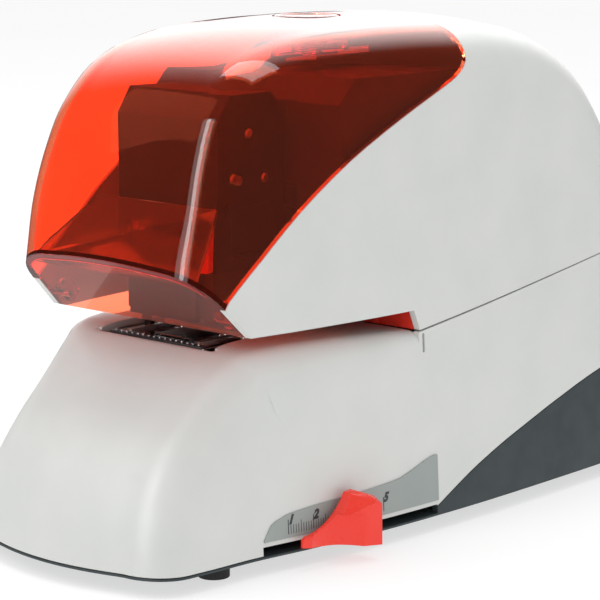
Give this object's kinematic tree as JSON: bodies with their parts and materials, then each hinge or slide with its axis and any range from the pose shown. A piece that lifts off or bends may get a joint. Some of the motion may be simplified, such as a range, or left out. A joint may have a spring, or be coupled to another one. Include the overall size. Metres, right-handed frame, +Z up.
{
  "type": "electric stapler",
  "caption": "Desktop electric stapler: see-through red front cover that tips forward, cam-driven stapling head, paper throat and a side knob that sets the stapling depth",
  "frame": {"origin": "middle of the bounding box, at the height of the table the feet stand on", "axes": "+Z up, paper goes in along +Y, +X is the side with the depth knob"},
  "size_m": [0.121, 0.2536, 0.1682],
  "materials": {
    "white_plastic": "satin white",
    "grey_plastic": "fine matte",
    "red_clear_plastic": "clear red, polished",
    "smoked_plastic": "smoked, polished",
    "red_plastic": "satin red",
    "black_plastic": "fine matte",
    "label_film": "printed film",
    "zinc_steel": "zinc plated",
    "chrome": "bright",
    "dark_steel": "blackened",
    "rubber": "matte",
    "nylon_gear": "natural nylon",
    "board_green": "coated"
  },
  "bodies": {
    "chassis": {"upper_housing": "white_plastic", "base_cover": "white_plastic", "base_tray": "grey_plastic", "foot_front_right": "rubber", "foot_front_left": "rubber", "foot_rear_right": "rubber", "foot_rear_left": "rubber", "cover_pivot_pin_right": "zinc_steel", "cover_pivot_pin_left": "zinc_steel", "side_plate_right": "zinc_steel", "side_plate_left": "zinc_steel", "front_bolt": "zinc_steel", "middle_spacer": "zinc_steel", "rear_spacer": "zinc_steel", "spring_seat": "zinc_steel", "head_pivot_shaft": "zinc_steel", "gear_stub": "zinc_steel", "anvil_block": "dark_steel", "anvil_plate": "chrome", "throat_liner": "red_plastic", "mechanism_shield": "black_plastic", "drive_motor": "zinc_steel", "head_return_spring": "zinc_steel", "carriage_rail": "zinc_steel", "circuit_board": "board_green", "transformer": "dark_steel", "mains_inlet": "black_plastic", "switch_frame": "black_plastic", "scale_label": "label_film"},
    "cover": {"front_cover": "red_clear_plastic", "finger_guard": "smoked_plastic"},
    "button": {"release_button": "red_clear_plastic", "latch_hook": "zinc_steel", "button_spring": "zinc_steel"},
    "head": {"stapling_head": "dark_steel", "roller_pin": "zinc_steel", "cam_roller": "zinc_steel", "staple_cassette": "black_plastic", "staple_stack": "chrome", "staple_pusher": "dark_steel", "cassette_lever": "red_plastic"},
    "driver": {"driver_blade": "chrome"},
    "cam": {"camshaft": "zinc_steel", "cam_gear": "nylon_gear"},
    "idler": {"idler_gear": "nylon_gear"},
    "pinion": {"motor_pinion": "zinc_steel"},
    "stop": {"stop_carriage": "black_plastic", "paper_stop_right": "black_plastic", "paper_stop_left": "black_plastic", "depth_knob": "red_plastic"},
    "rocker": {"power_rocker": "red_plastic"}
  },
  "joints": [
    {"name": "cover_hinge", "type": "hinge", "parent": "chassis", "child": "cover", "pos_m": [-0.0041, -0.0821, 0.081], "axis": [1, 0, 0], "range_deg": [0, 60]},
    {"name": "button_press", "type": "slide", "parent": "cover", "child": "button", "axis": [0, 0, -1], "range_m": [0, 0.0025], "stiffness_N_per_m": 300, "springref_m": -0.003, "deforming": ["button_spring"]},
    {"name": "cam_turn", "type": "hinge", "parent": "chassis", "child": "cam", "pos_m": [-0.0041, 0.0154, 0.1146], "axis": [1, 0, 0], "range_deg": [0, 150]},
    {"name": "head_swing", "type": "hinge", "parent": "chassis", "child": "head", "pos_m": [-0.0041, 0.0654, 0.086], "axis": [1, 0, 0], "range_deg": [0, 2.61], "stiffness_Nm_per_rad": 3, "springref_deg": -11.46, "deforming": ["head_return_spring"]},
    {"name": "driver_stroke", "type": "slide", "parent": "head", "child": "driver", "axis": [0, 0, -1], "range_m": [0, 0.00601]},
    {"name": "idler_turn", "type": "hinge", "parent": "chassis", "child": "idler", "pos_m": [-0.0041, 0.03618, 0.1266], "axis": [1, 0, 0], "range_deg": [-450, 0]},
    {"name": "pinion_turn", "type": "hinge", "parent": "chassis", "child": "pinion", "pos_m": [-0.0041, 0.04995, 0.11696], "axis": [1, 0, 0], "range_deg": [0, 1440]},
    {"name": "stop_slide", "type": "slide", "parent": "chassis", "child": "stop", "axis": [0, 1, 0], "range_m": [-0.0155, 0.0245]},
    {"name": "rocker_turn", "type": "hinge", "parent": "chassis", "child": "rocker", "pos_m": [-0.0041, 0.1219, 0.027], "axis": [1, 0, 0], "range_deg": [0, 12]}
  ],
  "couplings": [
    {"joint": "head_swing", "follows": "cam_turn", "ratio": 0.017333},
    {"joint": "driver_stroke", "follows": "cam_turn", "m_per_rad": 0.0022918},
    {"joint": "idler_turn", "follows": "cam_turn", "ratio": -3},
    {"joint": "pinion_turn", "follows": "cam_turn", "ratio": 9.6}
  ]
}
